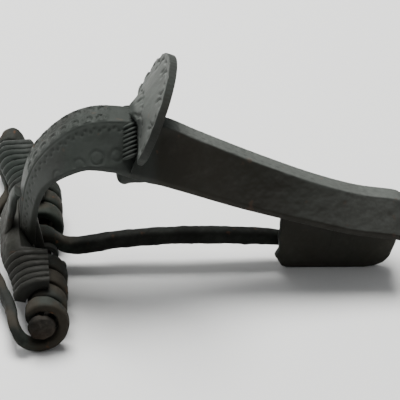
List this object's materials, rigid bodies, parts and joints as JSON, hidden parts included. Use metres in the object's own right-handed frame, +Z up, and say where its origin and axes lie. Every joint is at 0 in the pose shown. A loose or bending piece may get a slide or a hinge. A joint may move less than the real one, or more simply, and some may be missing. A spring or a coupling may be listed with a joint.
{
  "type": "fibula brooch",
  "caption": "Cast bronze bow brooch with a flared crest, faceted foot, ribbed caps over a bilateral wire spring, a sprung pin and a catchplate with a gutter.",
  "frame": {"origin": "under the middle of the brooch's bounds, on the surface it stands on", "axes": "+X from the spring and head to the foot, +Z up through the bow, +Y to the side of the catchplate's gutter"},
  "size_m": [0.0604, 0.044, 0.0357],
  "materials": {
    "brooch_body": "dark grey-green patina over bronze, worn lighter on the facets' edges",
    "spring_and_pin": "dark patinated bronze wire with brown and green spots",
    "spring_axle": "corroded iron, rough, dark brown with rust"
  },
  "bodies": {
    "root": {"brooch_body": "brooch_body", "spring_and_pin": "spring_and_pin", "spring_axle": "spring_axle"}
  },
  "joints": []
}
